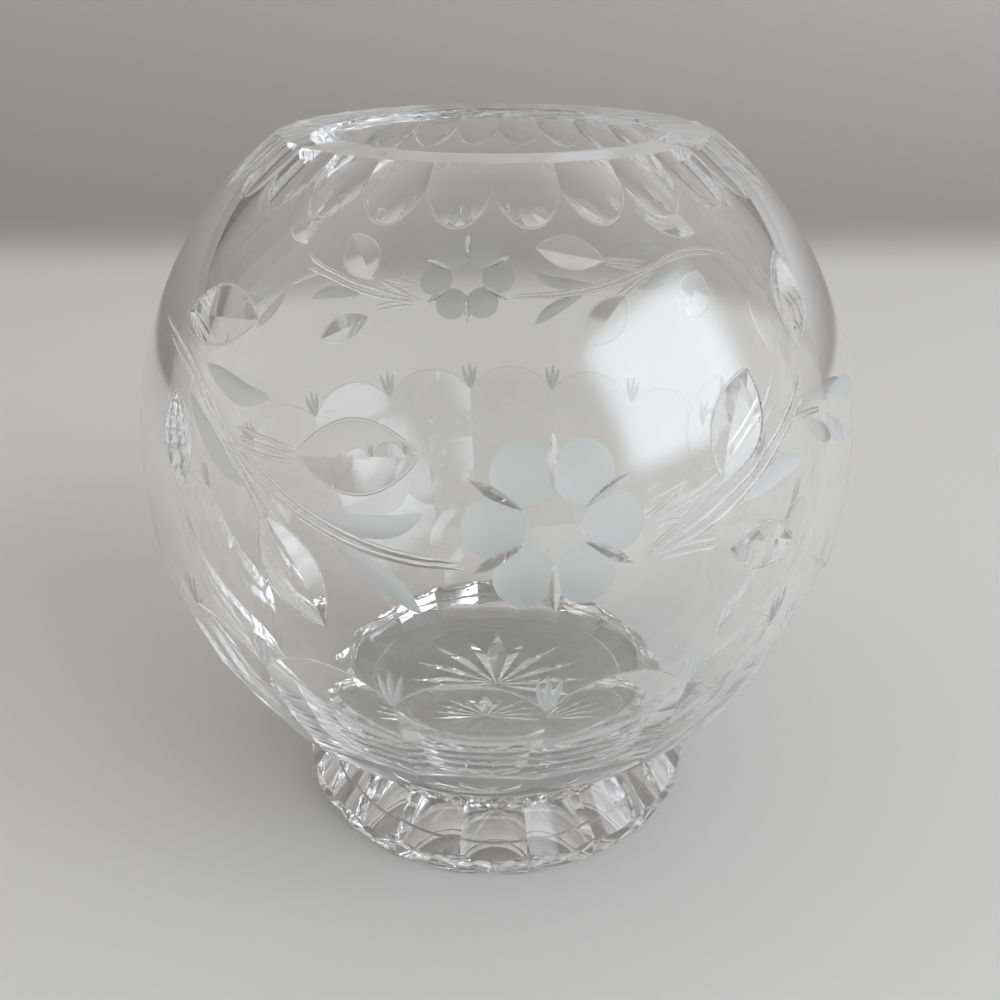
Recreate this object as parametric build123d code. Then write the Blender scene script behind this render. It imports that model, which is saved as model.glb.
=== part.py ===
from build123d import *
import math
import os

# Rose bowl vase of clear cut glass: a round blown bowl fused to a short fluted foot.
# Millimetres, +Z up, origin at the centre of the ring that the foot stands on.
# Azimuths are degrees from the front, which faces -Y, and grow towards +X.

# Bowl body
bowl_radius = 65.0          # outside, at the widest ring
rim_height = 130.0          # flat polished rim above the table
rim_width = 9.55            # of the flat rim, from the mouth outwards
mouth_radius = 26.5         # clear opening at the rim
wall_thickness = 4.5        # at the widest ring
floor_height = 15.0         # inside floor above the table
floor_flat_radius = 6.0     # level middle of the inside floor
base_thickness = 7.0        # of the bowl under its inside floor

# Neck, where the bowl goes into the foot, and the seat in the foot on which the two are fused
neck_height = 15.0
neck_radius = 34.6
seat_radius = 22.0          # level middle of the seat

# Foot body
foot_radius = 42.5
foot_band_height = 5.5      # upright band below the slope
foot_edge_round = 1.0       # worn edge of the standing ring
hollow_radius = 34.0        # hollow in the underside, inside the standing ring
hollow_depth = 0.3
hollow_side_run = 0.4       # by which the side of the hollow leans inwards

# Thumb cuts hanging from the rim
thumb_count = 28
thumb_azimuth = 5.9
thumb_drop = 6.6            # lowest point of each cut, below the rim
thumb_bite = 1.0            # how far each cut runs into the flat rim
thumb_hollow_radius = 25.0  # rounding of the wheel's edge

# Arched panels round the lower half of the bowl, in two tiers of flat faces
panel_count = 18
panel_azimuth = 16.4
panel_top_drop = 7.6        # crown of each arch, below the widest ring
panel_edge_drop = 26.0      # edge between the two tiers, below the widest ring
panel_upper_lean = 17.0     # degrees from upright
panel_lower_lean = 25.5
panel_block_margin = 5.0    # by which the trimming block passes the bowl at either end

# Flutes round the slope of the foot, each above one flat face of the band
flute_count = 20
flute_azimuth = 17.0
flute_depth = 1.7
flute_hollow_radius = 16.0
flute_end_round = 2.5       # rounding of the wheel's side, which shapes the top of a flute
flute_top_gap = 1.0         # plain collar left above the flutes
flute_overrun = 6.0         # by which the wheel passes the upper edge of the band, out of the glass

# Star in the hollow of the underside
star_ray_count = 16
star_radius = 23.5          # tips of the rays
star_notch_radius = 14.0    # where neighbouring rays part
star_depth = 2.0            # at the middle, where the rays meet

# Two flowers, front and back, each with round petals and short wedge cuts between them
spray_count = 2
flower_azimuth = 6.8
flower_rise = 16.7          # above the widest ring
petal_count = 6
petal_ring_radius = 8.0
petal_radius = 4.25
petal_depth = 0.48
wedge_ring_radius = 8.6
wedge_length = 8.0
wedge_width = 1.7
wedge_depth = 0.8

# Leaves of the branch on either side of each flower: azimuth, rise, turn, length, width.
# The rise is above the widest ring. The turn is in degrees from level, growing upwards.
leaf_depth = 1.3
leaves = [
    (-17.6, 24.4, 6.5, 17.7, 9.8),
    (-26.0, 7.1, -57.0, 18.0, 9.4),
    (-49.0, 19.3, -69.0, 14.6, 9.0),
    (-45.4, 37.2, 9.0, 17.0, 9.0),
    (32.8, 25.7, 63.0, 15.9, 9.2),
    (36.4, 7.6, -13.0, 14.3, 7.0),
    (52.0, 38.3, 68.6, 14.9, 8.0),
]

# The outside curve is half of an ellipse that passes through the rim and the neck.
rim_radius = mouth_radius + rim_width
rim_share = math.sqrt(1 - (rim_radius / bowl_radius) ** 2)
neck_share = math.sqrt(1 - (neck_radius / bowl_radius) ** 2)
bowl_half_height = (rim_height - neck_height) / (rim_share + neck_share)
bowl_centre_height = neck_height + neck_share * bowl_half_height


def outside_radius(height):
    """Radius of the uncut bowl at a height."""
    rise = (height - bowl_centre_height) / bowl_half_height
    return bowl_radius * math.sqrt(1 - rise * rise)


def meridian(middle, half_width, half_height, low, high):
    """Elliptical arc at the level of the widest ring, between two heights."""
    start = math.degrees(math.asin((low - bowl_centre_height) / half_height))
    end = math.degrees(math.asin((high - bowl_centre_height) / half_height))
    return EllipticalCenterArc(
        (middle, bowl_centre_height), half_width, half_height, start, arc_size=end - start
    )


def turned(outline):
    """Solid of revolution about Z from a closed outline in radius and height."""
    return revolve(Plane.XZ * make_face(outline), Axis.Z)


def spoke(azimuth, height=0):
    """Plane through the axis at an azimuth: X outwards, Y up, at a height."""
    turn = math.radians(azimuth)
    outwards = (math.sin(turn), -math.cos(turn), 0)
    sideways = (-math.cos(turn), -math.sin(turn), 0)
    return Plane(origin=(0, 0, height), x_dir=outwards, z_dir=sideways)


def on_bowl(azimuth, height):
    """Plane on the bowl's outside: X level to the right, Y up the wall, Z outwards."""
    turn = math.radians(azimuth)
    radius = outside_radius(height)
    lift = (height - bowl_centre_height) / bowl_half_height**2
    spread = radius / bowl_radius**2
    out_x = math.sin(turn)
    out_y = -math.cos(turn)
    return Plane(
        origin=(radius * out_x, radius * out_y, height),
        x_dir=(math.cos(turn), math.sin(turn), 0),
        z_dir=(spread * out_x, spread * out_y, lift),
    )


def beside(azimuth, height, right, up):
    """Azimuth and height of a point reached by walking along the bowl's outside."""
    climb = on_bowl(azimuth, height).y_dir.Z
    new_height = height + up * climb
    middle_radius = outside_radius((height + new_height) / 2)
    return azimuth + math.degrees(right / middle_radius), new_height


def wheel(radius, half_angle, rim_depth):
    """Cutting wheel with a pointed edge, its axis along Z."""
    half_width = rim_depth * math.tan(math.radians(half_angle))
    outline = Polyline(
        (0, -half_width),
        (radius - rim_depth, -half_width),
        (radius, 0),
        (radius - rim_depth, half_width),
        (0, half_width),
        close=True,
    )
    return turned(outline)


def wheel_cut(face, turn, length, width, depth, bulge):
    """Wheel set against a face so that it leaves a pointed cut of the given size."""
    radius = 1 / (8 * depth / length**2 - bulge)
    half_angle = math.degrees(math.atan(width / 2 / (depth - bulge * width**2 / 8)))
    heading = face.x_dir * math.cos(math.radians(turn)) + face.y_dir * math.sin(math.radians(turn))
    axle = face.origin + face.z_dir * (radius - depth)
    seat = Plane(origin=axle, x_dir=heading, z_dir=face.z_dir.cross(heading))
    return seat * wheel(radius, half_angle, 2 * depth)


# The bowl is blown, so its inside is smooth. From the widest ring, the inside curves down to a
# small level floor, and up to the mouth.
seat_height = floor_height - base_thickness
inner_radius = bowl_radius - wall_thickness
inner_lower = bowl_centre_height - floor_height
floor_reach = inner_radius - floor_flat_radius
bowl = turned(
    Curve()
    + meridian(0, bowl_radius, bowl_half_height, neck_height, rim_height)
    + Line((rim_radius, rim_height), (mouth_radius, rim_height))
    + TangentArc((inner_radius, bowl_centre_height), (mouth_radius, rim_height), tangent=(0, 1))
    + meridian(floor_flat_radius, floor_reach, inner_lower, floor_height, bowl_centre_height)
    + Polyline(
        (floor_flat_radius, floor_height),
        (0, floor_height),
        (0, seat_height),
        (seat_radius, seat_height),
        (neck_radius, neck_height),
    )
)

# Panels: a block with two tiers of flat sides trims the bowl to arches and straight ridges.
panel_top_height = bowl_centre_height - panel_top_drop
panel_edge_height = bowl_centre_height - panel_edge_drop
upper_slope = math.tan(math.radians(panel_upper_lean))
lower_slope = math.tan(math.radians(panel_lower_lean))
edge_reach = outside_radius(panel_top_height) - (panel_edge_drop - panel_top_drop) * upper_slope
block_low = seat_height - panel_block_margin
block_high = rim_height + panel_block_margin
block_sections = []
for height, slope in ((block_low, lower_slope), (panel_edge_height, 0), (block_high, upper_slope)):
    reach = edge_reach + (height - panel_edge_height) * slope
    turn = panel_azimuth - 90 - 180 / panel_count
    section = RegularPolygon(reach, panel_count, major_radius=False, rotation=turn)
    block_sections.append(Plane.XY.offset(height) * section)
bowl = bowl & loft(block_sections, ruled=True)

# Thumb cuts: a round-edged wheel runs out through the rim.
thumb_cuts = []
thumb_low_height = rim_height - thumb_drop
thumb_start = Vector(outside_radius(thumb_low_height), thumb_low_height)
thumb_end = Vector(rim_radius - thumb_bite, rim_height)
thumb_run = thumb_end - thumb_start
thumb_out = Vector(thumb_run.Y, -thumb_run.X).normalized()
for index in range(thumb_count):
    face = spoke(thumb_azimuth + index * 360 / thumb_count)
    axle = face.from_local_coords(thumb_end + thumb_out * thumb_hollow_radius)
    heading = face.from_local_coords(thumb_run) - face.origin
    roller = Cylinder(thumb_hollow_radius, 3 * thumb_run.length)
    thumb_cuts.append(Plane(origin=axle, z_dir=heading) * roller)

# Neighbouring cuts overlap, so every second one is cut in one go.
bowl = bowl - thumb_cuts[0::2]
bowl = bowl - thumb_cuts[1::2]

# Petals are shallow round hollows, and wedges are short pointed cuts between them.
bowl_bulge = 1 / bowl_radius
flower_height = bowl_centre_height + flower_rise
petal_hollow_radius = 1 / (2 * petal_depth / petal_radius**2 - bowl_bulge)
petal_cuts = []
wedge_cuts = []
leaf_cuts = []
for spray in range(spray_count):
    spray_turn = spray * 360 / spray_count
    for index in range(2 * petal_count):
        turn = index * 180 / petal_count
        ring_radius = wedge_ring_radius if index % 2 else petal_ring_radius
        right = ring_radius * math.cos(math.radians(turn))
        up = ring_radius * math.sin(math.radians(turn))
        face = on_bowl(*beside(flower_azimuth + spray_turn, flower_height, right, up))
        if index % 2:
            cut = wheel_cut(face, turn, wedge_length, wedge_width, wedge_depth, bowl_bulge)
            wedge_cuts.append(cut)
        else:
            scoop = Sphere(petal_hollow_radius)
            petal_cuts.append(face.offset(petal_hollow_radius - petal_depth) * scoop)
    for azimuth, rise, turn, length, width in leaves:
        face = on_bowl(azimuth + spray_turn, bowl_centre_height + rise)
        leaf_cuts.append(wheel_cut(face, turn, length, width, leaf_depth, bowl_bulge))
bowl = bowl - petal_cuts[0::2]
bowl = bowl - petal_cuts[1::2]
bowl = bowl - wedge_cuts
bowl = bowl - leaf_cuts

# The foot has a seat for the bowl on top. Its side flares from the neck to an upright band, and
# it stands on a ring round its hollow.
foot = turned(
    Curve()
    + Polyline(
        (0, seat_height),
        (seat_radius, seat_height),
        (neck_radius, neck_height),
        (foot_radius, foot_band_height),
        (foot_radius, foot_edge_round),
    )
    + RadiusArc(
        (foot_radius, foot_edge_round), (foot_radius - foot_edge_round, 0), foot_edge_round
    )
    + Polyline(
        (foot_radius - foot_edge_round, 0),
        (hollow_radius, 0),
        (hollow_radius - hollow_side_run, hollow_depth),
        (0, hollow_depth),
        (0, seat_height),
    )
)

# The band is ground to flat faces, which meet on upright edges between the flutes.
band_turn = flute_azimuth - 90 - 180 / flute_count
band_section = RegularPolygon(foot_radius, flute_count, rotation=band_turn)
foot = foot & extrude(band_section, neck_height)

# Flutes: a fat roller with a rounded upper end lies along the slope of the foot.
flute_cuts = []
slope_low = Vector(foot_radius, foot_band_height)
slope_high = Vector(neck_radius, neck_height)
slope_run = (slope_high - slope_low).normalized()
slope_out = Vector(slope_run.Y, -slope_run.X)
flute_length = flute_overrun + (slope_high - slope_low).length - flute_top_gap
flute_middle = slope_low + slope_run * (flute_length / 2 - flute_overrun)
flute_roller = Cylinder(flute_hollow_radius, flute_length)
flute_rims = flute_roller.edges().filter_by(GeomType.CIRCLE).sort_by(Axis.Z)
flute_roller = fillet(flute_rims[-1], flute_end_round)
for index in range(flute_count):
    face = spoke(flute_azimuth + index * 360 / flute_count)
    axle = face.from_local_coords(flute_middle + slope_out * (flute_hollow_radius - flute_depth))
    heading = face.from_local_coords(slope_run) - face.origin
    flute_cuts.append(Plane(origin=axle, z_dir=heading) * flute_roller)

# Neighbouring flutes overlap, so every second one is cut in one go.
foot = foot - flute_cuts[0::2]
foot = foot - flute_cuts[1::2]

# Star: pointed rays in the ceiling of the hollow, deepest where they meet.
star_points = []
for index in range(2 * star_ray_count):
    reach = star_notch_radius if index % 2 else star_radius
    turn = index * math.pi / star_ray_count
    star_points.append((reach * math.sin(turn), -reach * math.cos(turn), hollow_depth))
star_face = make_face(Polyline(*star_points, close=True))
foot = foot - loft([star_face, Vertex(0, 0, hollow_depth + star_depth)])

os.makedirs("parts", exist_ok=True)
export_step(bowl, "parts/bowl.step")
export_step(foot, "parts/foot.step")
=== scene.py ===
import math

import bmesh
import bpy
from mathutils import Matrix, Vector
from mathutils.geometry import interpolate_bezier


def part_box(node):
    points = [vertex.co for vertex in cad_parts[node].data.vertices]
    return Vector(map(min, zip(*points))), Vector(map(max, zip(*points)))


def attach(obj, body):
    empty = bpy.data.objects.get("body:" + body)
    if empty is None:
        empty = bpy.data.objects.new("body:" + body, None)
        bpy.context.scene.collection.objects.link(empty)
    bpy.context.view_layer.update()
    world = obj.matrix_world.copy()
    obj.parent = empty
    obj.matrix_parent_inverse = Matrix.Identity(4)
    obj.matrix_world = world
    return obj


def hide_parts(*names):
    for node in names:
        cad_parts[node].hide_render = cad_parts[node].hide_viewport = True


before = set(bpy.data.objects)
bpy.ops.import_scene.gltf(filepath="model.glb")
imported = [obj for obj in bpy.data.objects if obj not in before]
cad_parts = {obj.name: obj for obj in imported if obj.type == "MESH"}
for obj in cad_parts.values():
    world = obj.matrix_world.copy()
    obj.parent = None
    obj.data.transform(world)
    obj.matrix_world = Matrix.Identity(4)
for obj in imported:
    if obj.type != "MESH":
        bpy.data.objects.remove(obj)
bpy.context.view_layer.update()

# Bowl blank
# The body is clear lead crystal, blown round with a heavy base, then ground flat and polished at
# the rim. The inside stays as it was blown. The underside is fused into a seat in the foot.
MM = 0.001
bowl_low, bowl_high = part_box("bowl")
seat_height = bowl_low[2]
rim_height = bowl_high[2]
bowl_radius = 65.0 * MM
bowl_half_height = 68.5 * MM
bowl_middle = 73.0 * MM
mouth_radius = 26.5 * MM
mouth_round = 0.8 * MM
mouth_round_end = 0.85 * math.pi
wall_thickness = 4.5 * MM
floor_height = 15.0 * MM
floor_flat = 6.0 * MM
neck_height = 15.0 * MM
seat_radius = 22.0 * MM
seat_tolerance = 0.001 * MM
weld_distance = 0.0001 * MM
turned_steps = 240
outside_steps = 80
mouth_steps = 4
shoulder_steps = 20
floor_steps = 28


def outside_radius(height):
    """Radius of the uncut bowl at a height."""
    rise = (height - bowl_middle) / bowl_half_height
    return bowl_radius * math.sqrt(1 - rise * rise)


def arc(middle, half_width, half_height, start, end, count):
    """Points of radius and height on an ellipse, between two angles from level."""
    points = []
    for index in range(count + 1):
        angle = start + (end - start) * index / count
        points.append((
            middle[0] + half_width * math.cos(angle),
            middle[1] + half_height * math.sin(angle),
        ))
    return points


def spun(outline, steps):
    """Closed mesh, turned about Z from an outline that starts and ends on the axis."""
    bm = bmesh.new()
    verts = [bm.verts.new((radius, 0, height)) for radius, height in outline]
    edges = [bm.edges.new(pair) for pair in zip(verts, verts[1:])]
    bmesh.ops.spin(
        bm, geom=verts + edges, cent=(0, 0, 0), axis=(0, 0, 1),
        angle=2 * math.pi, steps=steps, use_merge=True,
    )
    bmesh.ops.remove_doubles(bm, verts=bm.verts, dist=weld_distance)
    bmesh.ops.recalc_face_normals(bm, faces=bm.faces)
    return bm


def as_mesh(bm, name, slots):
    """Turns a bmesh into a mesh with its material slots."""
    mesh = bpy.data.meshes.new(name)
    bm.to_mesh(mesh)
    bm.free()
    for material in slots:
        mesh.materials.append(material)
    return mesh


def linear(code):
    """Linear colour with alpha from an sRGB hex code."""
    parts = [int(code[at:at + 2], 16) / 255 for at in (1, 3, 5)]
    curve = [p / 12.92 if p <= 0.04045 else ((p + 0.055) / 1.055) ** 2.4 for p in parts]
    return (*curve, 1.0)


def node(tree, kind, sockets=None, **settings):
    """Adds a node with its settings, and its sockets as values or as links."""
    made = tree.nodes.new(kind)
    for name, value in settings.items():
        setattr(made, name, value)
    for name, value in (sockets or {}).items():
        if isinstance(value, bpy.types.NodeSocket):
            tree.links.new(value, made.inputs[name])
        else:
            made.inputs[name].default_value = value
    return made


# Polished lead crystal: colourless and highly refractive. Blowing leaves faint waves about
# 14 mm long in it, which shift what is seen through it a little.
wave_length = 14.0 * MM
wave_height = 0.1 * MM
crystal_ior = 1.545
polished = bpy.data.materials.new("polished_lead_crystal")
polished.use_nodes = True
tree = polished.node_tree
tree.nodes.clear()
place = node(tree, "ShaderNodeTexCoord").outputs["Object"]
waves = node(tree, "ShaderNodeTexNoise", {"Vector": place, "Scale": 1 / wave_length, "Detail": 1.0})
ripple = node(tree, "ShaderNodeBump", {
    "Height": waves.outputs["Fac"], "Strength": 0.15, "Distance": wave_height,
})
surface = node(tree, "ShaderNodeBsdfPrincipled", {
    "Base Color": linear("#FEFEFE"), "Roughness": 0.0, "IOR": crystal_ior,
    "Transmission Weight": 1.0, "Normal": ripple.outputs["Normal"],
})
node(tree, "ShaderNodeOutputMaterial", {"Surface": surface.outputs["BSDF"]})

# Ground lead crystal: cuts left as the stone wheel made them, so the glass scatters light and
# looks pale and matte. The grit is about 0.1 mm and is drawn at 0.3 mm so that it shows.
grit = 0.3 * MM
pit_depth = 0.05 * MM
ground = bpy.data.materials.new("ground_lead_crystal")
ground.use_nodes = True
tree = ground.node_tree
tree.nodes.clear()
place = node(tree, "ShaderNodeTexCoord").outputs["Object"]
grain = node(tree, "ShaderNodeTexNoise", {"Vector": place, "Scale": 1 / grit, "Detail": 2.0})
dull = node(tree, "ShaderNodeMapRange", {
    "Value": grain.outputs["Fac"], "From Min": 0.3, "From Max": 0.7, "To Min": 0.38, "To Max": 0.55,
})
pits = node(tree, "ShaderNodeBump", {
    "Height": grain.outputs["Fac"], "Strength": 0.3, "Distance": pit_depth,
})
surface = node(tree, "ShaderNodeBsdfPrincipled", {
    "Base Color": linear("#F4F6F6"), "Roughness": dull.outputs["Result"], "IOR": crystal_ior,
    "Transmission Weight": 0.7, "Normal": pits.outputs["Normal"],
})
node(tree, "ShaderNodeOutputMaterial", {"Surface": surface.outputs["BSDF"]})

# Fused joint: the two glasses have melted into one here, so light passes and nothing shows.
fused = bpy.data.materials.new("fused_joint")
fused.use_nodes = True
fused.node_tree.nodes["Principled BSDF"].inputs["Alpha"].default_value = 0.0

# Engraved lead crystal: the same polished crystal in the fine lines. It has a slot of its own, so
# that the round bottoms of the lines are shaded smoothly.
engraved = polished.copy()
engraved.name = "engraved_lead_crystal"
crystal_slots = [polished, ground, fused, engraved]


def mark_seat(bm):
    """Gives the faces on the fused seat their own material."""
    steepness = (neck_height - seat_height) / (neck_radius - seat_radius)
    on_seat = set()
    for vert in bm.verts:
        height = seat_height + max(0, vert.co.xy.length - seat_radius) * steepness
        if abs(vert.co.z - height) < seat_tolerance and vert.co.z < neck_height + seat_tolerance:
            on_seat.add(vert)
    for face in bm.faces:
        if on_seat.issuperset(face.verts):
            face.material_index = crystal_slots.index(fused)


inner_radius = bowl_radius - wall_thickness
neck_radius = outside_radius(neck_height)
outside_start = math.asin((neck_height - bowl_middle) / bowl_half_height)
outside_end = math.asin((rim_height - bowl_middle) / bowl_half_height)
lip = inner_radius - mouth_radius
shoulder = (lip**2 + (rim_height - bowl_middle) ** 2) / (2 * lip)
shoulder_end = math.asin((rim_height - mouth_round - bowl_middle) / shoulder)
outline = [(0, seat_height), (seat_radius, seat_height)]
outline += arc(
    (0, bowl_middle), bowl_radius, bowl_half_height,
    outside_start, outside_end, outside_steps,
)
outline += arc(
    (mouth_radius + mouth_round, rim_height - mouth_round),
    mouth_round, mouth_round, math.pi / 2, mouth_round_end, mouth_steps,
)
outline += arc(
    (inner_radius - shoulder, bowl_middle), shoulder, shoulder,
    shoulder_end, 0, shoulder_steps,
)[:-1]
outline += arc(
    (floor_flat, bowl_middle), inner_radius - floor_flat, bowl_middle - floor_height,
    0, -math.pi / 2, floor_steps,
)
outline += [(0, floor_height)]
bm = spun(outline, turned_steps)
mark_seat(bm)
bowl = bpy.data.objects.new("cut_bowl", as_mesh(bm, "cut_bowl", crystal_slots))
bpy.context.scene.collection.objects.link(bowl)

# Arched panels
# Flat faces ground round the lower half in two tiers. Each upper face leaves the round body in an
# arch, and neighbouring faces meet on straight upright ridges.
panel_count = 18
panel_azimuth = 16.4
panel_top = 65.4 * MM
panel_edge = 47.0 * MM
upper_lean = 17.0
lower_lean = 25.5
block_margin = 5.0 * MM


def grind(blank, tool_mesh, operation="DIFFERENCE"):
    """Cuts a blank with a tool, then clears the tool away."""
    tool = bpy.data.objects.new("tool", tool_mesh)
    bpy.context.scene.collection.objects.link(tool)
    cut = blank.modifiers.new("cut", "BOOLEAN")
    cut.operation = operation
    cut.solver = "MANIFOLD"
    cut.material_mode = "INDEX"
    cut.object = tool
    view = bpy.context.evaluated_depsgraph_get()
    result = bpy.data.meshes.new_from_object(blank.evaluated_get(view))
    blank.modifiers.remove(cut)
    old = blank.data
    blank.data = result
    bpy.data.meshes.remove(old)
    bpy.data.objects.remove(tool)
    bpy.data.meshes.remove(tool_mesh)


upper_slope = math.tan(math.radians(upper_lean))
lower_slope = math.tan(math.radians(lower_lean))
edge_reach = outside_radius(panel_top) - (panel_top - panel_edge) * upper_slope
block_low = seat_height - block_margin
block_high = rim_height + block_margin
corner = 1 / math.cos(math.pi / panel_count)
for slope in (upper_slope, lower_slope):
    bm = bmesh.new()
    bmesh.ops.create_cone(
        bm, cap_ends=True, segments=panel_count, depth=block_high - block_low,
        radius1=corner * (edge_reach + (block_low - panel_edge) * slope),
        radius2=corner * (edge_reach + (block_high - panel_edge) * slope),
        matrix=Matrix.Translation((0, 0, (block_low + block_high) / 2))
        @ Matrix.Rotation(math.radians(panel_azimuth - 180 / panel_count), 4, "Z"),
    )
    grind(bowl, as_mesh(bm, "panel_block", crystal_slots), "INTERSECT")

# Thumb cuts
# A row of shallow round-ended hollows hangs from the rim. A wheel with a broad round edge cut
# each one and ran out through the flat of the rim.
thumb_count = 28
thumb_azimuth = 5.9
thumb_low = 123.4 * MM
thumb_bite = 1.0 * MM
thumb_edge_radius = 25.0 * MM
thumb_half_length = 16.0 * MM
thumb_wheel_rim = 3.0 * MM
thumb_sweep = math.radians(30)
thumb_steps = 40


def wheel_edge(bm, profile, sweep, steps, place):
    """Adds a closed sector of a cutting wheel's rim from its profile in radius and axle offset.

    The axle is Z, and the middle of the sector points along X until it is put in its place.
    """
    start = Matrix.Rotation(-sweep / 2, 4, "Z")
    verts = [bm.verts.new(start @ Vector((radius, 0, offset))) for radius, offset in profile]
    face = bm.faces.new(verts)
    bmesh.ops.spin(
        bm, geom=[face, *face.edges, *verts], cent=(0, 0, 0), axis=(0, 0, 1),
        angle=sweep, steps=steps,
    )
    whole = {face for face in bm.faces if not face.tag}
    for face in whole:
        face.tag = True
    bmesh.ops.recalc_face_normals(bm, faces=list(whole))
    bmesh.ops.transform(bm, matrix=place, verts=list({v for f in whole for v in f.verts}))


def facing(origin, towards, axle):
    """Place whose X looks towards the glass and whose Z is the wheel's axle."""
    x_axis = towards.normalized()
    z_axis = axle.normalized()
    y_axis = z_axis.cross(x_axis)
    turn = Matrix((x_axis, y_axis, z_axis)).transposed()
    return Matrix.Translation(origin) @ turn.to_4x4()


def in_spoke(azimuth, radius, height):
    """Point or direction from radius and height in the upright plane at an azimuth."""
    turn = math.radians(azimuth)
    return Vector((radius * math.sin(turn), -radius * math.cos(turn), height))


rim_radius = outside_radius(rim_height)
run_radius = rim_radius - thumb_bite - outside_radius(thumb_low)
run_height = rim_height - thumb_low
run = math.hypot(run_radius, run_height)
thumb_profile = [
    (thumb_edge_radius - thumb_wheel_rim, -thumb_half_length),
    (thumb_edge_radius, -thumb_half_length),
    (thumb_edge_radius, thumb_half_length),
    (thumb_edge_radius - thumb_wheel_rim, thumb_half_length),
]
for first in (0, 1):
    bm = bmesh.new()
    for index in range(first, thumb_count, 2):
        azimuth = thumb_azimuth + index * 360 / thumb_count
        heading = in_spoke(azimuth, run_radius / run, run_height / run)
        outwards = in_spoke(azimuth, run_height / run, -run_radius / run)
        axle = in_spoke(azimuth, rim_radius - thumb_bite, rim_height) + outwards * thumb_edge_radius
        place = facing(axle, -outwards, heading)
        wheel_edge(bm, thumb_profile, thumb_sweep, thumb_steps, place)
    grind(bowl, as_mesh(bm, "thumb_wheel", crystal_slots))

# Flowers
# One flower on the front and one on the back. Its petals are shallow round hollows left matte
# from the stone, and a short pointed wedge is cut and polished between each two of them.
spray_count = 2
flower_azimuth = 6.8
flower_height = 89.7 * MM
petal_count = 6
petal_ring = 8.0 * MM
petal_radius = 4.25 * MM
petal_depth = 0.48 * MM
petal_overreach = 1.6
petal_rings = 18
petal_spokes = 64
wedge_ring = 8.6 * MM
wedge_length = 8.0 * MM
wedge_width = 1.7 * MM
wedge_depth = 0.8 * MM
point_overreach = 1.5
point_steps = 48


def on_bowl(azimuth, height):
    """Place on the bowl's outside: X level to the right, Y up the wall, Z outwards."""
    radius = outside_radius(height)
    lift = (height - bowl_middle) / bowl_half_height**2
    z_axis = in_spoke(azimuth, radius / bowl_radius**2, lift).normalized()
    x_axis = in_spoke(azimuth + 90, 1, 0)
    y_axis = z_axis.cross(x_axis)
    turn = Matrix((x_axis, y_axis, z_axis)).transposed()
    return Matrix.Translation(in_spoke(azimuth, radius, height)) @ turn.to_4x4()


def beside(azimuth, height, right, up):
    """Azimuth and height reached by walking along the bowl's outside."""
    climb = on_bowl(azimuth, height).col[1][2]
    new_height = height + up * climb
    middle = outside_radius((height + new_height) / 2)
    return azimuth + math.degrees(right / middle), new_height


def pointed_cut(bm, azimuth, height, turn, length, width, depth):
    """Adds the edge of a pointed wheel that leaves a leaf-shaped cut of the given size."""
    place = on_bowl(azimuth, height)
    outwards = place.col[2].to_3d()
    heading = (place.to_3x3() @ Matrix.Rotation(math.radians(turn), 3, "Z")).col[0]
    radius = 1 / (8 * depth / length**2 - 1 / bowl_radius)
    spread = width / 2 / (depth - width**2 / 8 / bowl_radius)
    rim = 2 * depth
    profile = [(radius - rim, -rim * spread), (radius, 0), (radius - rim, rim * spread)]
    axle = place.translation + outwards * (radius - depth)
    seat = facing(axle, -outwards, outwards.cross(heading))
    wheel_edge(bm, profile, point_overreach * length / radius, point_steps, seat)


petal_edge_radius = 1 / (2 * petal_depth / petal_radius**2 - 1 / bowl_radius)
reach = math.asin(petal_overreach * petal_radius / petal_edge_radius)
petal_outline = arc(
    (0, petal_edge_radius - petal_depth), petal_edge_radius, petal_edge_radius,
    -math.pi / 2, reach - math.pi / 2, petal_rings,
)
petal_outline += [(0, petal_outline[-1][1])]
for first in (0, 1):
    tools = bmesh.new()
    for spray in range(spray_count):
        for index in range(first, petal_count, 2):
            turn = index * 2 * math.pi / petal_count
            spot = beside(
                flower_azimuth + spray * 360 / spray_count, flower_height,
                petal_ring * math.cos(turn), petal_ring * math.sin(turn),
            )
            petal = spun(petal_outline, petal_spokes)
            bmesh.ops.transform(petal, matrix=on_bowl(*spot), verts=petal.verts)
            for face in petal.faces:
                face.material_index = crystal_slots.index(ground)
            scratch = as_mesh(petal, "petal", [])
            tools.from_mesh(scratch)
            bpy.data.meshes.remove(scratch)
    grind(bowl, as_mesh(tools, "petal_wheel", crystal_slots))
bm = bmesh.new()
for spray in range(spray_count):
    for index in range(petal_count):
        degrees = (index + 0.5) * 360 / petal_count
        turn = math.radians(degrees)
        spot = beside(
            flower_azimuth + spray * 360 / spray_count, flower_height,
            wedge_ring * math.cos(turn), wedge_ring * math.sin(turn),
        )
        pointed_cut(bm, *spot, degrees, wedge_length, wedge_width, wedge_depth)
grind(bowl, as_mesh(bm, "wedge_wheel", crystal_slots))

# Branches
# A branch runs from the left under the flower and up to the right, cut with thin wheels. Its stems
# are bundles of fine polished lines, and the slim blades beside them are left matte. Places are
# degrees from the front and millimetres of height, and widths and depths are millimetres too.
stem_width = 1.1
stem_depth = 0.22
stem_ends = (0.15, 0.15)
twig_width = 0.9
twig_depth = 0.18
twig_ends = (0.2, 0.2)
blade_width = 3.5
blade_depth = 0.32
blade_ends = (0.6, 0.4)
line_step = 1.0 * MM
line_lift = 0.01 * MM
line_wheel_roundness = 24


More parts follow.
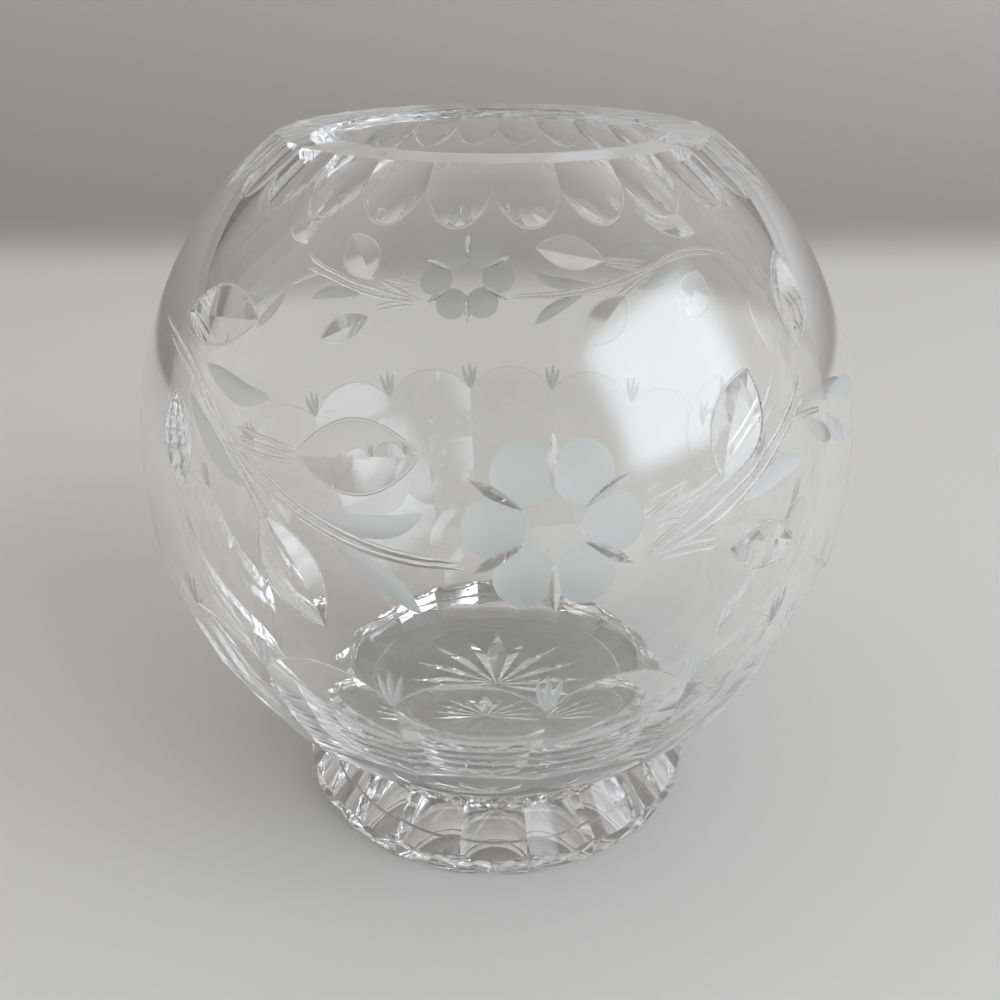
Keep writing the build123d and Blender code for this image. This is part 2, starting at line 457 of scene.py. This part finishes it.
def engrave(blank, lines, width, depth, ends, slot):
    """Cuts round-bottomed lines into the bowl, which sink in and run out over the given shares."""
    edge_radius = MM / (8 * depth / width**2 - MM / bowl_radius)
    curve = bpy.data.curves.new("line_wheel", "CURVE")
    curve.dimensions = "3D"
    curve.bevel_depth = edge_radius
    curve.bevel_resolution = line_wheel_roundness
    curve.use_fill_caps = True
    for line in lines:
        spots = [Vector((azimuth, height, 0)) for azimuth, height in line]
        spots = [2 * spots[0] - spots[1], *spots, 2 * spots[-1] - spots[-2]]
        path = []
        for before, here, there, after in zip(spots, spots[1:], spots[2:], spots[3:]):
            start = on_bowl(here.x, here.y * MM).translation
            end = on_bowl(there.x, there.y * MM).translation
            count = max(2, round((end - start).length / line_step))
            # Handles of a sixth of the way between a place's neighbours keep the line smooth.
            path += interpolate_bezier(
                here, here + (there - before) / 6, there - (after - here) / 6, there, count + 1
            )[:-1]
        path.append(spots[-2])
        spline = curve.splines.new("POLY")
        spline.points.add(len(path) - 1)
        for index, spot in enumerate(path):
            share = index / (len(path) - 1)
            fullness = min(1, share / ends[0], (1 - share) / ends[1])
            sunk = depth * MM * math.sin(fullness * math.pi / 2) ** 2 - line_lift
            place = on_bowl(spot.x, spot.y * MM)
            point = place.translation + place.col[2].to_3d() * (edge_radius - sunk)
            spline.points[index].co = (*point, 1)
    tool = bpy.data.objects.new("line_wheel", curve)
    bm = bmesh.new()
    mesh = bpy.data.meshes.new_from_object(tool)
    bm.from_mesh(mesh)
    bmesh.ops.remove_doubles(bm, verts=bm.verts, dist=weld_distance)
    bmesh.ops.recalc_face_normals(bm, faces=bm.faces)
    for face in bm.faces:
        face.material_index = slot
    bpy.data.objects.remove(tool)
    bpy.data.curves.remove(curve)
    bpy.data.meshes.remove(mesh)
    grind(blank, as_mesh(bm, "line_wheel", crystal_slots))


def on_sprays(lines):
    """Repeats lines for each spray."""
    return [
        [(azimuth + spray * 360 / spray_count, height) for azimuth, height in line]
        for spray in range(spray_count) for line in lines
    ]


matte = crystal_slots.index(ground)
clear = crystal_slots.index(engraved)
blades = [
    [(-46.1, 104.4), (-40.7, 103.1), (-35.5, 102.0), (-30.2, 102.8)],
    [(-24.3, 89.7), (-18.4, 88.8), (-12.1, 89.4), (-8.1, 92.0)],
    [(-21.4, 86.8), (-16.7, 84.1), (-12.3, 80.7), (-8.4, 76.5)],
    [(-48.8, 100.7), (-42.8, 96.2), (-38.0, 92.7), (-32.8, 89.8)],
    [(31.0, 87.9), (35.5, 89.5), (40.8, 90.9), (45.8, 90.3)],
    [(52.3, 96.0), (58.2, 96.2), (72.2, 93.0)],
    [(52.1, 95.6), (54.9, 92.0), (61.4, 87.3)],
]
engrave(bowl, on_sprays(blades), blade_width, blade_depth, blade_ends, matte)
stems = [
    [
        [
            (-65.4, 106.6), (-52.1, 104.7), (-43.7, 101.1), (-37.5, 96.7), (-31.8, 93.7),
            (-26.1, 90.5), (-19.7, 87.8), (-13.3, 86.0), (-7.6, 85.3), (-2.2, 84.9),
        ],
        [
            (17.5, 84.1), (21.0, 85.7), (24.9, 87.5), (29.3, 89.8), (33.9, 92.1), (38.2, 95.0),
            (42.9, 98.2), (46.6, 101.4), (49.0, 104.6),
        ],
    ],
    [
        [
            (-60.0, 105.2), (-49.0, 102.4), (-40.9, 98.2), (-35.6, 94.8), (-30.6, 91.5),
            (-25.0, 88.8), (-19.0, 86.4), (-12.9, 85.0), (-7.2, 84.4), (-2.2, 84.2),
        ],
        [
            (18.0, 83.9), (22.1, 85.1), (26.7, 86.6), (31.6, 88.9), (36.1, 91.7), (40.8, 95.0),
            (45.2, 97.8), (48.9, 99.9),
        ],
    ],
    [
        [(-38.6, 95.7), (-34.9, 93.4), (-31.9, 90.6), (-29.4, 88.2), (-27.9, 87.0)],
        [(17.4, 84.3), (20.1, 86.1), (23.5, 88.4), (26.2, 90.4), (28.3, 92.1)],
        [(41.8, 96.5), (45.6, 96.6), (51.5, 95.8)],
    ],
]
for lines in stems:
    engrave(bowl, on_sprays(lines), stem_width, stem_depth, stem_ends, clear)
twigs = [
    [
        [(-38.0, 94.2), (-34.6, 91.8), (-32.2, 89.4), (-30.2, 86.9)],
        [(-36.6, 97.9), (-33.0, 97.6), (-29.1, 97.3), (-25.3, 96.9)],
        [(19.9, 84.6), (24.0, 84.9), (28.7, 84.6)],
        [(18.0, 89.6), (20.3, 90.8), (22.8, 92.3)],
    ],
    [
        [(-35.7, 96.7), (-32.3, 96.4), (-28.7, 96.3), (-25.3, 96.2)],
        [(19.3, 83.6), (23.8, 83.7), (28.4, 83.3)],
        [(20.2, 89.3), (23.9, 90.6), (28.0, 91.8)],
    ],
    [
        [(-34.5, 95.6), (-31.9, 95.2), (-28.9, 95.2), (-25.8, 95.4)],
        [(19.4, 88.4), (21.6, 88.4), (23.9, 88.0)],
    ],
]
for lines in twigs:
    engrave(bowl, on_sprays(lines), twig_width, twig_depth, twig_ends, clear)

# Edge lines
# The polish left a very fine line along each arch, where the flat face leaves the round of the
# bowl, and along the lower edge of each thumb cut.
arch_drop = 6.3 * MM
arch_half_steps = 8
thumb_half_steps = 4
thumb_halvings = 24
edge_width = 0.5
edge_depth = 0.1
edge_ends = (0.1, 0.1)
lines = []
for panel in range(panel_count):
    line = []
    for index in range(-arch_half_steps, arch_half_steps + 1):
        height = panel_top - arch_drop * (index / arch_half_steps) ** 2
        reach = edge_reach + (height - panel_edge) * upper_slope
        swing = math.degrees(math.acos(min(1, reach / outside_radius(height))))
        azimuth = panel_azimuth + panel * 360 / panel_count + math.copysign(swing, index)
        line.append((azimuth, height / MM))
    lines.append(line)
engrave(bowl, lines, edge_width, edge_depth, edge_ends, clear)


def thumb_edge(swing):
    """Height at which a thumb cut leaves the bowl, at an angle from the middle of the cut."""
    low = thumb_low
    high = rim_height
    for halving in range(thumb_halvings):
        height = (low + high) / 2
        radius = outside_radius(height)
        inwards = rim_radius - thumb_bite - radius * math.cos(swing)
        over = (-inwards * run_height + (rim_height - height) * run_radius) / run
        if math.hypot(radius * math.sin(swing), thumb_edge_radius - over) > thumb_edge_radius:
            low = height
        else:
            high = height
    return low


for first in (0, 1):
    lines = []
    for thumb in range(first, thumb_count, 2):
        line = []
        for index in range(-thumb_half_steps, thumb_half_steps + 1):
            swing = index / thumb_half_steps * 180 / thumb_count
            azimuth = thumb_azimuth + thumb * 360 / thumb_count + swing
            line.append((azimuth, thumb_edge(math.radians(swing)) / MM))
        lines.append(line)
    engrave(bowl, lines, edge_width, edge_depth, edge_ends, clear)

# Palms
# A small palm of three blades stands between each two arches. A thin stone wheel cut it, and it
# is left matte. Each blade is given by its lean in degrees and the height of its tip.
palm_blade_width = 1.15
palm_blade_depth = 0.2
palm_blade_ends = (0.5, 0.5)
palm_foot = 59.0
palm_bend = 0.6
palm_blades = [(-1.5, 66.2), (0.0, 67.3), (1.8, 66.6)]
for lean, top in palm_blades:
    lines = []
    for index in range(panel_count):
        azimuth = panel_azimuth + (index + 0.5) * 360 / panel_count
        middle = (azimuth + lean * palm_bend, (palm_foot + top) / 2)
        lines.append([(azimuth, palm_foot), middle, (azimuth + lean, top)])
    engrave(bowl, lines, palm_blade_width, palm_blade_depth, palm_blade_ends, matte)

# Leaves
# Broad pointed leaves cut with an obtuse wheel and polished, each with a sharp rib along it and a
# fine line round it. Each is given by azimuth, height, turn from level, length and width.
leaf_depth = 1.3 * MM
outline_width = 0.65
outline_depth = 0.2
outline_ends = (0.08, 0.08)
outline_steps = 12
leaves = [
    (-17.6, 97.4, 6.5, 17.7, 9.8),
    (-26.0, 80.1, -57.0, 18.0, 9.4),
    (-49.0, 92.3, -69.0, 14.6, 9.0),
    (-45.4, 110.2, 9.0, 17.0, 9.0),
    (32.8, 98.7, 63.0, 15.9, 9.2),
    (36.4, 80.6, -13.0, 14.3, 7.0),
    (52.0, 111.3, 68.6, 14.9, 8.0),
]
bm = bmesh.new()
for spray in range(spray_count):
    for azimuth, height, turn, length, width in leaves:
        pointed_cut(
            bm, azimuth + spray * 360 / spray_count, height * MM, turn,
            length * MM, width * MM, leaf_depth,
        )
grind(bowl, as_mesh(bm, "leaf_wheel", crystal_slots))
outlines = []
for azimuth, height, turn, length, width in leaves:
    heading = math.radians(turn)
    for side in (-0.5, 0.5):
        outline = []
        for index in range(outline_steps + 1):
            along = length * (index / outline_steps - 0.5)
            across = side * width * (1 - (2 * index / outline_steps - 1) ** 2)
            right = along * math.cos(heading) - across * math.sin(heading)
            up = along * math.sin(heading) + across * math.cos(heading)
            spot = beside(azimuth, height * MM, right * MM, up * MM)
            outline.append((spot[0], spot[1] / MM))
        outlines.append(outline)
for lines in (outlines[0::2], outlines[1::2]):
    engrave(bowl, on_sprays(lines), outline_width, outline_depth, outline_ends, clear)

# Finished bowl
# The polish leaves each cut smooth inside and crisp along its edges. The fine lines have round
# bottoms, so the facets in them are smoothed up to a wider angle than those of the other cuts.
cut_crease = math.radians(5)
line_crease = math.radians(25)


def crisp(piece):
    """Shades a piece smoothly up to its cut edges, which stay crisp."""
    piece.data.shade_smooth()
    bm = bmesh.new()
    bm.from_mesh(piece.data)
    for edge in bm.edges:
        in_line = all(face.material_index in (matte, clear) for face in edge.link_faces)
        edge.smooth = edge.calc_face_angle(0) < (line_crease if in_line else cut_crease)
    bm.to_mesh(piece.data)
    bm.free()


crisp(bowl)
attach(bowl, "root")
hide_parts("bowl")

# Foot
# A short flared foot of the same crystal, put on hot under the bowl. Its upright band is ground to
# flat faces, and it stands on a polished ring round a shallow hollow.
foot_radius = 42.5 * MM
foot_band = 5.5 * MM
foot_edge = 1.0 * MM
foot_edge_steps = 6
band_block_height = 4 * neck_height
hollow_radius = 34.0 * MM
hollow_depth = 0.3 * MM
hollow_side = 0.4 * MM
flute_count = 20
flute_azimuth = 17.0
outline = [(0, seat_height), (seat_radius, seat_height), (neck_radius, neck_height)]
outline += [(foot_radius, foot_band)]
outline += arc(
    (foot_radius - foot_edge, foot_edge), foot_edge, foot_edge,
    0, -math.pi / 2, foot_edge_steps,
)
outline += [(hollow_radius, 0), (hollow_radius - hollow_side, hollow_depth), (0, hollow_depth)]
bm = spun(outline, turned_steps)
mark_seat(bm)
foot = bpy.data.objects.new("cut_foot", as_mesh(bm, "cut_foot", crystal_slots))
bpy.context.scene.collection.objects.link(foot)
bm = bmesh.new()
bmesh.ops.create_cone(
    bm, cap_ends=True, segments=flute_count, radius1=foot_radius, radius2=foot_radius,
    depth=band_block_height,
    matrix=Matrix.Rotation(math.radians(flute_azimuth - 180 / flute_count), 4, "Z"),
)
grind(foot, as_mesh(bm, "band_block", crystal_slots), "INTERSECT")

# Flutes of the foot
# Broad hollow flutes round the slope of the foot, one above each face of the band, cut with a fat
# wheel that ran out over the band, and polished.
flute_depth = 1.7 * MM
flute_edge_radius = 16.0 * MM
flute_end = 2.5 * MM
flute_top_gap = 1.0 * MM
flute_overrun = 6.0 * MM
flute_sweep = math.radians(56)
flute_steps = 48
flute_end_steps = 8
slope_radius = neck_radius - foot_radius
slope_height = neck_height - foot_band
slope = math.hypot(slope_radius, slope_height)
flute_half = (flute_overrun + slope - flute_top_gap) / 2
flute_profile = [(flute_edge_radius - flute_end, -flute_half), (flute_edge_radius, -flute_half)]
flute_profile += arc(
    (flute_edge_radius - flute_end, flute_half - flute_end), flute_end, flute_end,
    0, math.pi / 2, flute_end_steps,
)
for first in (0, 1):
    bm = bmesh.new()
    for index in range(first, flute_count, 2):
        azimuth = flute_azimuth + index * 360 / flute_count
        heading = in_spoke(azimuth, slope_radius / slope, slope_height / slope)
        outwards = in_spoke(azimuth, slope_height / slope, -slope_radius / slope)
        middle = in_spoke(azimuth, foot_radius, foot_band) + heading * (flute_half - flute_overrun)
        axle = middle + outwards * (flute_edge_radius - flute_depth)
        place = facing(axle, -outwards, heading)
        wheel_edge(bm, flute_profile, flute_sweep, flute_steps, place)
    grind(foot, as_mesh(bm, "flute_wheel", crystal_slots))

# Star of the underside
# Pointed rays cut into the ceiling of the hollow with a pointed wheel and polished. They are
# deepest where they meet in the middle.
star_rays = 16
star_radius = 23.5 * MM
star_notch = 14.0 * MM
star_depth = 2.0 * MM
star_margin = 0.2 * MM
grow = 1 + star_margin / star_depth
bm = bmesh.new()
bmesh.ops.create_cone(
    bm, cap_ends=True, segments=2 * star_rays, radius1=star_radius * grow, radius2=0,
    depth=star_depth * grow,
)
star_middle = hollow_depth - star_margin + star_depth * grow / 2
bmesh.ops.translate(bm, verts=bm.verts, vec=(0, 0, star_middle))
bmesh.ops.remove_doubles(bm, verts=bm.verts, dist=weld_distance)
for vert in bm.verts:
    turn = math.atan2(vert.co.x, vert.co.y) / (math.pi / star_rays)
    if round(turn) % 2 and vert.co.xy.length > star_notch:
        vert.co.xy *= star_notch / star_radius
grind(foot, as_mesh(bm, "star_wheel", crystal_slots))

crisp(foot)
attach(foot, "root")
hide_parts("foot")

# Table and backdrop
# A pale matt table top that sweeps up into a plain grey wall. The wall's colour holds painted
# shade that darkens it towards its foot, so it gets lighter upwards. Neither is part of the object.
table_level = -0.1 * MM
table_front = -1.5
sweep_start = 0.45
sweep_radius = 0.35
sweep_steps = 16
wall_paint_start = 0.38
wall_paint_full = 0.52
# Height up to which painted shade darkens the wall towards its foot.
wall_painted_shade_height = 0.5
upright_slack = 0.01
wall_top = 2.0
table_half_width = 2.5
bm = bmesh.new()
line = [(table_front, table_level)]
line += arc(
    (sweep_start, table_level + sweep_radius), sweep_radius, sweep_radius,
    -math.pi / 2, 0, sweep_steps,
)
line += [(sweep_start + sweep_radius, wall_top)]
verts = [bm.verts.new((-table_half_width, y, z)) for y, z in line]
edges = [bm.edges.new(pair) for pair in zip(verts, verts[1:])]
side = bmesh.ops.extrude_edge_only(bm, edges=edges)
moved = [item for item in side["geom"] if isinstance(item, bmesh.types.BMVert)]
bmesh.ops.translate(bm, verts=moved, vec=(2 * table_half_width, 0, 0))
bmesh.ops.recalc_face_normals(bm, faces=bm.faces)
for face in bm.faces:
    if face.normal.z < -upright_slack:
        face.normal_flip()
    face.smooth = True
table_paint = bpy.data.materials.new("matt_white_table")
table_paint.use_nodes = True
tree = table_paint.node_tree
tree.nodes.clear()
place = node(tree, "ShaderNodeTexCoord").outputs["Object"]
axes = node(tree, "ShaderNodeSeparateXYZ", {"Vector": place})
away = node(tree, "ShaderNodeMapRange", {
    "Value": axes.outputs["Y"], "From Min": wall_paint_start, "From Max": wall_paint_full,
}, interpolation_type="SMOOTHSTEP").outputs["Result"]
# Painted shade: this mask runs the wall from dark grey at its foot to pale at the top of the shade.
up = node(tree, "ShaderNodeMapRange", {
    "Value": axes.outputs["Z"], "From Min": 0.0, "From Max": wall_painted_shade_height,
}).outputs["Result"]
# The wall's grey with painted shade mixed in, darkest where it meets the table.
wall_colour_with_painted_shade = node(tree, "ShaderNodeMix", {
    0: up, 6: linear("#AAA7A4"), 7: linear("#F0EEEC"),
}, data_type="RGBA").outputs[2]
colour = node(tree, "ShaderNodeMix", {
    0: away, 6: linear("#E4E3E1"), 7: wall_colour_with_painted_shade,
}, data_type="RGBA").outputs[2]
surface = node(tree, "ShaderNodeBsdfPrincipled", {"Base Color": colour, "Roughness": 0.6})
node(tree, "ShaderNodeOutputMaterial", {"Surface": surface.outputs["BSDF"]})
table = bpy.data.objects.new("table", as_mesh(bm, "table", [table_paint]))
bpy.context.scene.collection.objects.link(table)

# Studio light
# One large soft box to the right of the camera, like a window, and a grey room around that is
# darker behind the camera.
lamp_target = Vector((0, 0, 0.07))
lamp_azimuth = 62.0
lamp_lift = math.radians(27)
lamp_distance = 2.4
lamp_width = 2.4
lamp_height = 2.0
lamp_power = 54.0
light_bounces = 128
lamp_data = bpy.data.lights.new("soft_box", "AREA")
lamp_data.shape = "RECTANGLE"
lamp_data.size = lamp_width
lamp_data.size_y = lamp_height
lamp_data.energy = lamp_power
lamp_data.use_nodes = True
tree = lamp_data.node_tree
tree.nodes.clear()
sheet = node(tree, "ShaderNodeNewGeometry").outputs["Parametric"]
offset = node(tree, "ShaderNodeVectorMath", {0: sheet, 1: (0.5, 0.5, 0.0)}, operation="SUBTRACT")
spread = node(tree, "ShaderNodeVectorMath", {0: offset.outputs["Vector"]}, operation="ABSOLUTE")
sides = node(tree, "ShaderNodeSeparateXYZ", {"Vector": spread.outputs["Vector"]})
fade = 1.0
for axis in ("X", "Y"):
    edge = node(tree, "ShaderNodeMapRange", {
        "Value": sides.outputs[axis], "From Min": 0.3, "From Max": 0.5, "To Min": 1.0, "To Max": 0.0,
    }, interpolation_type="SMOOTHSTEP").outputs["Result"]
    fade = node(tree, "ShaderNodeMath", {0: edge, 1: fade}, operation="MULTIPLY").outputs["Value"]
glow = node(tree, "ShaderNodeEmission", {"Color": linear("#F4F8FF"), "Strength": fade})
node(tree, "ShaderNodeOutputLight", {"Surface": glow.outputs["Emission"]})
lamp = bpy.data.objects.new("soft_box", lamp_data)
lamp.location = lamp_target + in_spoke(
    lamp_azimuth, lamp_distance * math.cos(lamp_lift), lamp_distance * math.sin(lamp_lift)
)
lamp.rotation_euler = (lamp_target - lamp.location).to_track_quat("-Z", "Y").to_euler()
bpy.context.scene.collection.objects.link(lamp)

world = bpy.data.worlds.new("grey_room")
world.use_nodes = True
tree = world.node_tree
tree.nodes.clear()
direction = node(tree, "ShaderNodeTexCoord").outputs["Generated"]
axes = node(tree, "ShaderNodeSeparateXYZ", {"Vector": direction})
above = node(tree, "ShaderNodeMapRange", {
    "Value": axes.outputs["Z"], "From Min": -0.1, "From Max": 1.0, "To Min": 0.84, "To Max": 1.0,
}).outputs["Result"]
behind = node(tree, "ShaderNodeMapRange", {
    "Value": axes.outputs["Y"], "From Min": -0.9, "From Max": 0.0, "To Min": 0.15, "To Max": 1.0,
}).outputs["Result"]
glow = node(tree, "ShaderNodeMath", {0: above, 1: behind}, operation="MULTIPLY").outputs["Value"]
room = node(tree, "ShaderNodeBackground", {"Color": linear("#F2F1EF"), "Strength": glow})
node(tree, "ShaderNodeOutputWorld", {"Surface": room.outputs["Background"]})
bpy.context.scene.world = world
bpy.context.scene.view_settings.view_transform = "Standard"

# A ray crosses many layers of this glass before it leaves it.
bpy.context.scene.cycles.max_bounces = light_bounces
bpy.context.scene.cycles.transmission_bounces = light_bounces
bpy.context.scene.cycles.glossy_bounces = light_bounces

# Camera
# Close above the table, looking down at the bowl, as the photograph does. Its place, dip and
# turn were fitted to the outline of the bowl, the rim and the foot.
camera_place = (0, -168.07 * MM, 151.46 * MM)
camera_dip = 0.501
camera_turn = -0.0039
camera_lens = 34.18
camera_data = bpy.data.cameras.new("camera")
camera_data.sensor_width = 36.0
camera_data.lens = camera_lens
camera_data.clip_start = 0.01
camera = bpy.data.objects.new("camera", camera_data)
camera.location = camera_place
camera.rotation_euler = (math.pi / 2 - camera_dip, 0, camera_turn)
bpy.context.scene.collection.objects.link(camera)
bpy.context.scene.camera = camera
